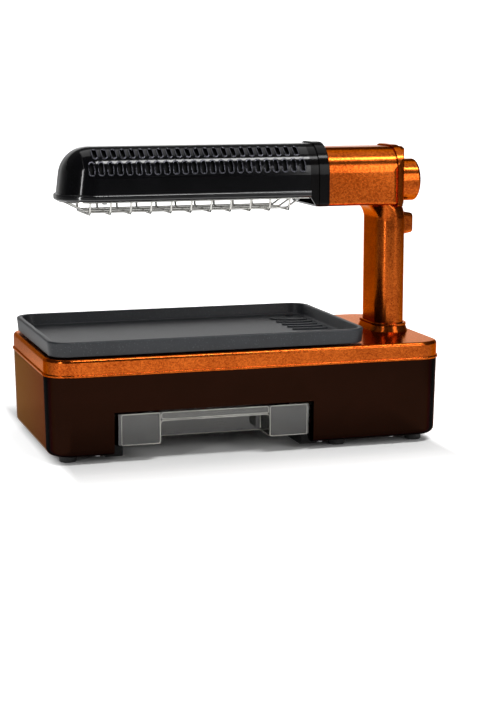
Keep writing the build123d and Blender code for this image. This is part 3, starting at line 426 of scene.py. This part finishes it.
# %% Assign the finishes
finishes = {
    copper: ["deck_cover", "arm_shell", "column_cover", "column_collar", "control_knob", "push_button"],
    casing_brown: ["lower_casing"],
    enamel: ["head_shell"],
    frame_black: ["head_frame"],
    black_abs: ["head_end_collar", "drawer_rail_left", "drawer_rail_right", "cord_inlet"],
    coating: ["grill_pan"],
    tray_clear: ["drip_tray"],
    plated_wire: ["guard_ring", "guard_wires", "guard_hoops"],
    bright_sheet: ["reflector", "reflector_ends", "thermal_cutout"],
    zinc: ["rail_screws", "casing_screws", "cover_screws", "frame_screws", "knob_shaft"],
    quartz: ["heater_tube_front", "heater_tube_rear"],
    ceramic: ["tube_holders"],
    rubber: ["rubber_feet", "pan_pads"],
    shield_black: ["heat_shield"],
    dull_plastic: ["guide_sleeve", "drain_chute", "column_foot_ring", "heat_switch", "push_switch"],
    terminal_white: ["terminal_block"],
}
for finish, names in finishes.items():
    for name in names:
        nodes[name].data.materials.clear()
        nodes[name].data.materials.append(finish)
bare = sorted(set(nodes) - {name for names in finishes.values() for name in names})
print("finished", len(nodes) - len(bare), "pieces, bare:", bare)

# %% [markdown]
# ## Lips round the vents
# The head's vents are punched, and the punch leaves a raised round lip at each hole that catches
# the light. A bevel on the hole's edge could make it, but the CAD mesh has long thin triangles
# there that bevel badly. So a lip is a thin tube bent round the hole: the outline is drawn flat,
# each point is laid on the cylinder of the round shoulder, and all the lips are one mesh.

# %% Tubes and pieces


def ring_tube(mesh, points, outward, radius, sides=6):
    """A closed tube through points, its section turned to face each point's outward way."""
    rings = []
    for i, point in enumerate(points):
        along = (points[(i + 1) % len(points)] - points[i - 1]).normalized()
        across = along.cross(outward[i]).normalized()
        up = across.cross(along)
        turns = [2 * pi * k / sides for k in range(sides)]
        rings.append([mesh.verts.new(point + radius * (cos(t) * across + sin(t) * up)) for t in turns])
    for i, ring in enumerate(rings):
        following = rings[(i + 1) % len(rings)]
        for k in range(sides):
            n = (k + 1) % sides
            mesh.faces.new((ring[k], ring[n], following[n], following[k])).smooth = True


def add_piece(name, shape, material):
    """Turn a built shape into an object with one finish."""
    mesh = bpy.data.meshes.new(name)
    shape.to_mesh(mesh)
    shape.free()
    mesh.materials.append(material)
    piece = bpy.data.objects.new(name, mesh)
    bpy.context.scene.collection.objects.link(piece)
    print(name, "has", len(mesh.polygons), "faces")
    return piece


# %% Vent places
head_low, head_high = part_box("head_shell")
SHOULDER = 36 * MM
VENT_PITCH = 11.2 * MM
VENT_HALF_WIDTH = 3.3 * MM
VENT_HALF_LENGTH = 8.0 * MM
VENT_START = 33 * MM
VENT_END = 6.4 * MM
VENT_ROW_ANGLES = (19.0, 52.0)
shoulder_z = head_high.z - SHOULDER
shoulder_y = head_high.y - SHOULDER
first_vent = head_low.x + VENT_START
vent_count = int((head_high.x - VENT_END - first_vent) / VENT_PITCH) + 1
print("vents in a row:", vent_count)

# %% Vent lips
LIP_RADIUS = 1.2 * MM


def slot_outline(steps=7):
    """Points round a hole with round ends: along X, then along the shoulder."""
    straight = VENT_HALF_LENGTH - VENT_HALF_WIDTH
    ends = []
    for end in (1, -1):
        for i in range(steps):
            turn = pi * i / (steps - 1)
            ends.append((end * VENT_HALF_WIDTH * cos(turn), end * (straight + VENT_HALF_WIDTH * sin(turn))))
    return ends


lips = bmesh.new()
for row, angle in enumerate(VENT_ROW_ANGLES):
    for side in (-1, 1):
        out = Vector((0, side * cos(radians(angle)), sin(radians(angle))))
        along = Vector((0, -side * sin(radians(angle)), cos(radians(angle))))
        for i in range(vent_count - row):
            middle = Vector((first_vent + (i + row * 0.5) * VENT_PITCH, side * shoulder_y, shoulder_z))
            points, ways = [], []
            for u, v in slot_outline():
                way = (along * v + out * sqrt(SHOULDER**2 - v**2)) / SHOULDER
                points.append(middle + Vector((u, 0, 0)) + way * SHOULDER)
                ways.append(way)
            ring_tube(lips, points, ways, LIP_RADIUS)
vent_lips = add_piece("vent_lips", lips, lip_black)
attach(vent_lips, "head")

# %% [markdown]
# ## Painted shade behind the vents
# Looking in through a vent shows only dark: no light comes from the far side or from the bright
# reflector. So a black sheet is put inside as painted shade, to darken what is seen through the
# vents. A box could block the view, but it would show through the holes as a flat wall. So the
# sheet is curved, one on each side, a few millimetres inside the shoulder, with closed edges.

# %% Vent shade sheet, a painted shade
SHADE_SHEET_RADII = (31.2 * MM, 31.8 * MM)
SHADE_SHEET_BEFORE_VENTS = 9 * MM
SHADE_SHEET_END = 4 * MM
SHADE_SHEET_TURNS = [radians(4 + 7 * i) for i in range(12)]
# painted shade: a black sheet inside the head that darkens the view in through the vents
shade_sheet = bmesh.new()
for side in (-1, 1):
    sections = []
    for x in (first_vent - SHADE_SHEET_BEFORE_VENTS, head_high.x - SHADE_SHEET_END):
        arcs = []
        for radius in SHADE_SHEET_RADII:
            arc = [(shoulder_y + radius * cos(t), shoulder_z + radius * sin(t)) for t in SHADE_SHEET_TURNS]
            arcs.append([shade_sheet.verts.new((x, side * y, z)) for y, z in arc])
        sections.append(arcs[0] + arcs[1][::-1])
    first, last = sections
    count = len(first)
    for k in range(count):
        n = (k + 1) % count
        shade_sheet.faces.new((first[k], first[n], last[n], last[k]))
    for section in sections:
        for k in range(count // 2 - 1):
            shade_sheet.faces.new((section[k], section[k + 1], section[count - 2 - k], section[count - 1 - k]))
bmesh.ops.recalc_face_normals(shade_sheet, faces=shade_sheet.faces)
vent_shade_sheet = add_piece("vent_shade_sheet", shade_sheet, shield_black)
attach(vent_shade_sheet, "head")

# %% [markdown]
# ## Painted highlights on the clear tray's edges
# Clear plastic pipes light along its walls and lets it out at the moulded edges, so the edges
# look white and the faces dark. Tracing that light is possible, but slow and noisy. Instead, a
# thin bead of pale, half see-through colour, half sunk in the tray, is a painted highlight: it runs
# round each front block, round the lip and along the edge of the finger recess. Every route is a
# closed loop with its corners rounded.

# %% Tray edge sizes
tray_low, tray_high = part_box("drip_tray")
BEAD = 0.6 * MM
BEAD_SINK = 0.3 * MM
RECESS_HALF = 66.25 * MM
RECESS_DEPTH = 40 * MM
RECESS_BEND = 5 * MM
LIP_HEIGHT = 10 * MM
LIP_SIDE_GAP = 1.5 * MM
LIP_FOOT_GAP = 1.6 * MM
LIP_BEND = 3.4 * MM
BLOCK_OUTER_GAP = 5.5 * MM
BLOCK_INNER_GAP = 0.5 * MM
BLOCK_BEND = 2 * MM
TOP_GAP = 0.8 * MM
FOOT_GAP = 1.2 * MM
tray_x = (tray_low.x + tray_high.x) / 2
recess_left, recess_right = tray_x - RECESS_HALF, tray_x + RECESS_HALF
front_y = tray_low.y + BEAD_SINK
back_y = front_y + RECESS_DEPTH
top_z, foot_z = tray_high.z - TOP_GAP, tray_low.z + FOOT_GAP
lip_z = tray_high.z - LIP_HEIGHT
print("tray is", round(tray_high.x - tray_low.x, 3), "m wide")

# %% Tray edge routes


def rounded_loop(corners, radius, steps=5):
    """A closed run of points through corners, each corner eased by a small curve."""
    run = []
    for i, corner in enumerate(corners):
        before = (corners[i - 1] - corner).normalized() * radius
        after = (corners[(i + 1) % len(corners)] - corner).normalized() * radius
        for k in range(steps):
            t = k / (steps - 1)
            run.append(corner + before * (1 - t) ** 2 + after * t**2)
    return run


def front_loop(left, right, bottom, top):
    """The corners of an upright rectangle on the tray's front."""
    corners = ((left, bottom), (right, bottom), (right, top), (left, top))
    return [Vector((x, front_y, z)) for x, z in corners]


left_block = front_loop(tray_low.x + BLOCK_OUTER_GAP, recess_left - BLOCK_INNER_GAP, foot_z, top_z)
right_block = front_loop(recess_right + BLOCK_INNER_GAP, tray_high.x - BLOCK_OUTER_GAP, foot_z, top_z)
lip = front_loop(recess_left + LIP_SIDE_GAP, recess_right - LIP_SIDE_GAP, lip_z + LIP_FOOT_GAP, top_z)
recess = [
    Vector((recess_left, front_y, foot_z)),
    Vector((recess_left, back_y, foot_z)),
    Vector((recess_right, back_y, foot_z)),
    Vector((recess_right, front_y, foot_z)),
    Vector((recess_right, front_y, lip_z)),
    Vector((recess_left, front_y, lip_z)),
]
print("corners:", [len(corners) for corners in (left_block, right_block, lip, recess)])

# %% Tray edge beads
# No run lies along this way, so the section of the bead is defined on all of them.
facing = Vector((0.5, -0.6, -0.6)).normalized()
edges = bmesh.new()
for corners, bend in (
    (left_block, BLOCK_BEND),
    (right_block, BLOCK_BEND),
    (lip, LIP_BEND),
    (recess, RECESS_BEND),
):
    points = rounded_loop(corners, bend)
    ring_tube(edges, points, [facing] * len(points), BEAD)
bmesh.ops.recalc_face_normals(edges, faces=edges.faces)
# painted highlight: pale beads along the tray's edges stand in for the light let out there
tray_painted_highlights = add_piece("tray_painted_highlights", edges, tray_edge_highlight)
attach(tray_painted_highlights, "tray")

# %% [markdown]
# ## Coils in the heater tubes
# Each quartz tube holds a coil of resistance wire. One turn and an array could make it, but the
# turns would need joining. So one curve with a round bevel is the wire: its points run round a
# helix, and a turn every 5 mm is close enough to read as a coil from below.

# %% Heater coils
COIL_PITCH = 5 * MM
COIL_RADIUS = 2.8 * MM
COIL_WIRE_RADIUS = 0.5 * MM
COIL_INSET = 6 * MM
STEPS_PER_TURN = 12
for name in ("heater_tube_front", "heater_tube_rear"):
    low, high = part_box(name)
    centre = (low + high) / 2
    turns = int((high.x - low.x - 2 * COIL_INSET) / COIL_PITCH)
    curve = bpy.data.curves.new(name.replace("tube", "coil"), "CURVE")
    curve.dimensions = "3D"
    curve.bevel_depth = COIL_WIRE_RADIUS
    curve.bevel_resolution = 1
    line = curve.splines.new("POLY")
    last = STEPS_PER_TURN * turns
    line.points.add(last)
    for i in range(last + 1):
        t = 2 * pi * i / STEPS_PER_TURN
        x = low.x + COIL_INSET + i * COIL_PITCH / STEPS_PER_TURN
        line.points[i].co = (x, centre.y + COIL_RADIUS * cos(t), centre.z + COIL_RADIUS * sin(t), 1.0)
    coil = bpy.data.objects.new(curve.name, curve)
    bpy.context.scene.collection.objects.link(coil)
    curve.materials.append(coil_wire)
    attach(coil, "head")
    print(coil.name, "has", turns, "turns")

# %% [markdown]
# ## Paper sweep
# A sheet of white paper runs under the object and curves up behind it, as in a photo studio. A
# floor and a wall could do, but a line would show where they meet.

# %% Paper sweep
SWEEP_RADIUS = 1.5
SWEEP_START = 1.2
SWEEP_TOP = 1.7
SWEEP_STEP = 6
PAPER_FRONT = -6.0
PAPER_MIDDLE = -1.0
PAPER_HALF_WIDTH = 7.0
build = bmesh.new()
profile = [(PAPER_FRONT, 0.0), (PAPER_MIDDLE, 0.0), (SWEEP_START, 0.0)]
for degrees in range(SWEEP_STEP, 90 + SWEEP_STEP, SWEEP_STEP):
    turn = radians(degrees)
    profile.append((SWEEP_START + SWEEP_RADIUS * sin(turn), SWEEP_RADIUS - SWEEP_RADIUS * cos(turn)))
profile.append((SWEEP_START + SWEEP_RADIUS, SWEEP_TOP))
rows = [[build.verts.new((x, y, z)) for x in (-PAPER_HALF_WIDTH, PAPER_HALF_WIDTH)] for y, z in profile]
for near, far in zip(rows, rows[1:]):
    build.faces.new((near[0], near[1], far[1], far[0])).smooth = True
floor_mesh = bpy.data.meshes.new("paper_sweep")
build.to_mesh(floor_mesh)
build.free()
floor = bpy.data.objects.new("paper_sweep", floor_mesh)
bpy.context.scene.collection.objects.link(floor)
print("sweep of", len(floor_mesh.polygons), "strips")

# %% [markdown]
# ## How the paper glows
# The paper in the picture is almost pure white, while the gloss black on it stays black. Lamps on
# the paper could whiten it, but then the whole bright sheet would mirror in the gloss. So the
# paper is painted light: it glows by itself, only in a wedge of floor and wall behind and before
# the object, and the glow drops in a painted soft shadow along the base's front. The glow is
# worked out from the place on the paper, one small sum after another. Each line of the table is
# one node: a name, what it does, and the values it takes, which may be earlier names.

# %% Sums for the glow
paper, shader, place = new_material("white_paper_painted_glow")
axes = add_node(paper, "ShaderNodeSeparateXYZ", [("Vector", place)])
values = {"x": axes.outputs["X"], "y": axes.outputs["Y"], "z": axes.outputs["Z"]}
glow_steps = [
    ("near_line", "MULTIPLY_ADD", "y", 0.6, -0.7),
    ("far_line", "MULTIPLY_ADD", "y", 0.1637, -0.32),
    ("left_line", "MINIMUM", "near_line", "far_line"),
    ("left_edge", "SUBTRACT", "x", "left_line"),
    ("left_lit", "SMOOTHSTEP", "left_edge", -0.08, 0.03, 0.0, 1.0),
    ("right_line", "MULTIPLY", "y", 0.461),
    ("right_edge", "SUBTRACT", "x", "right_line"),
    ("right_lit", "SMOOTHSTEP", "right_edge", 0.4, 0.9, 1.0, 0.0),
    ("low_lit", "SMOOTHSTEP", "z", 0.64, 1.1, 1.0, 0.0),
    ("wedge", "MULTIPLY", "left_lit", "right_lit"),
    ("seen", "MULTIPLY", "wedge", "low_lit"),
    ("width", "ABSOLUTE", "x"),
    ("past_side", "SUBTRACT", "width", 0.22),
    ("beside", "MAXIMUM", "past_side", 0.0),
    ("length", "ABSOLUTE", "y"),
    ("past_front", "SUBTRACT", "length", 0.11),
    ("before", "MAXIMUM", "past_front", 0.0),
    ("beside_square", "MULTIPLY", "beside", "beside"),
    ("gap_square", "MULTIPLY_ADD", "before", "before", "beside_square"),
    ("gap", "SQRT", "gap_square"),
    # painted shadow: the glow fades out near the base's front, but not beside it
    ("past_painted_shadow_fade", "SMOOTHSTEP", "gap", 0.02, 0.26, 0.0, 1.0),
    ("side_lit", "SMOOTHSTEP", "beside", 0.0, 0.025, 0.0, 1.0),
    ("painted_shadow_fade", "MAXIMUM", "past_painted_shadow_fade", "side_lit"),
    ("back", "SMOOTHSTEP", "y", 0.3, 1.4, 0.75, 0.95),
    ("front", "SMOOTHSTEP", "y", -1.6, -0.95, 0.2, 1.0),
    ("depth", "MULTIPLY", "back", "front"),
    ("lit", "MULTIPLY", "depth", "seen"),
    ("glow", "MULTIPLY", "lit", "painted_shadow_fade"),
]
for name, operation, *terms in glow_steps:
    feeds = [(i, values.get(term, term)) for i, term in enumerate(terms)]
    if operation == "SMOOTHSTEP":
        made = add_node(paper, "ShaderNodeMapRange", feeds, interpolation_type=operation)
    else:
        made = add_node(paper, "ShaderNodeMath", feeds, operation=operation)
    values[name] = made.outputs[0]
print("sums:", len(glow_steps))

# %% White paper, with its painted glow
FIBRE_MM = 2.0
fibre = add_node(
    paper,
    "ShaderNodeTexNoise",
    [("Vector", place), ("Scale", per_metre(FIBRE_MM)), ("Detail", 3.0)],
)
tint = add_node(
    paper,
    "ShaderNodeMix",
    [("Factor", fibre.outputs["Fac"]), (6, hex_colour("#F4F4F3")), (7, hex_colour("#FAFAFA"))],
    data_type="RGBA",
)
feed(
    paper,
    shader,
    [
        ("Base Color", tint.outputs[2]),
        ("Emission Color", hex_colour("#FFFFFF")),
        # painted light: the paper glows, and less in the painted shadow before the base
        ("Emission Strength", values["glow"]),
        ("Roughness", 0.9),
        ("Specular IOR Level", 0.1),
    ],
)
floor_mesh.materials.append(paper)
print("made", paper.name, "with", len(paper.node_tree.nodes), "nodes")

# %% [markdown]
# ## Lights
# A softbox high in front draws the long glint along the shoulders of the head and the arm, a dim
# one overhead lights what faces up, a tall card at the front right lights the copper's front, and
# a narrow strip stands at the left. Bare lamps could light the object as well, but each would
# show as a spot in the gloss. So every light is a rectangle, whose size sets how wide its glint
# is.

# %% Lights


def soft_light(name, place, target, width, height, power):
    """A white rectangle of light at a place, turned to a target; metres and watts."""
    light = bpy.data.lights.new(name, "AREA")
    light.shape = "RECTANGLE"
    light.size = width
    light.size_y = height
    light.energy = power
    lamp = bpy.data.objects.new(name, light)
    lamp.location = place
    lamp.rotation_euler = (Vector(target) - Vector(place)).to_track_quat("-Z", "Y").to_euler()
    bpy.context.scene.collection.objects.link(lamp)


soft_light("shoulder_softbox", (0.7, -1.06, 2.3), (0.4, -0.2, 0.3), 1.6, 0.34, 38)
soft_light("top_softbox", (0.2, 0.6, 2.4), (0, 0, 0.2), 2.4, 1.6, 14)
soft_light("left_strip", (-1.5, -1.2, 0.65), (-0.2, -0.1, 0.15), 0.12, 1.3, 10)
soft_light("front_card", (1.3, -2.2, 0.96), (0.2, 0, 0.3), 0.9, 1.5, 19)

world = bpy.data.worlds.new("studio_room")
world.use_nodes = True
room = world.node_tree.nodes["Background"]
room.inputs["Color"].default_value = hex_colour("#FFFFFF")
room.inputs["Strength"].default_value = 0.09
bpy.context.scene.world = world
bpy.context.scene.view_settings.view_transform = "Standard"

# %% [markdown]
# ## Camera
# The camera stands two metres away, a little to the left and above the head. Its place, turn and
# lens could be tried by eye, but they were fitted, by laying the base's corners over those in the
# picture.

# %% Camera
YAW = 0.2975
PITCH = 0.1713
camera = bpy.data.objects.new("camera", bpy.data.cameras.new("camera"))
camera.location = (-0.6124, -2.0602, 0.4635)
look = Vector((sin(YAW) * cos(PITCH), cos(YAW) * cos(PITCH), -sin(PITCH)))
camera.rotation_euler = look.to_track_quat("-Z", "Y").to_euler()
camera.data.sensor_fit = "VERTICAL"
camera.data.sensor_height = 36.0
camera.data.lens = 88.645
bpy.context.scene.collection.objects.link(camera)
bpy.context.scene.camera = camera
print("camera at", tuple(round(v, 3) for v in camera.location))
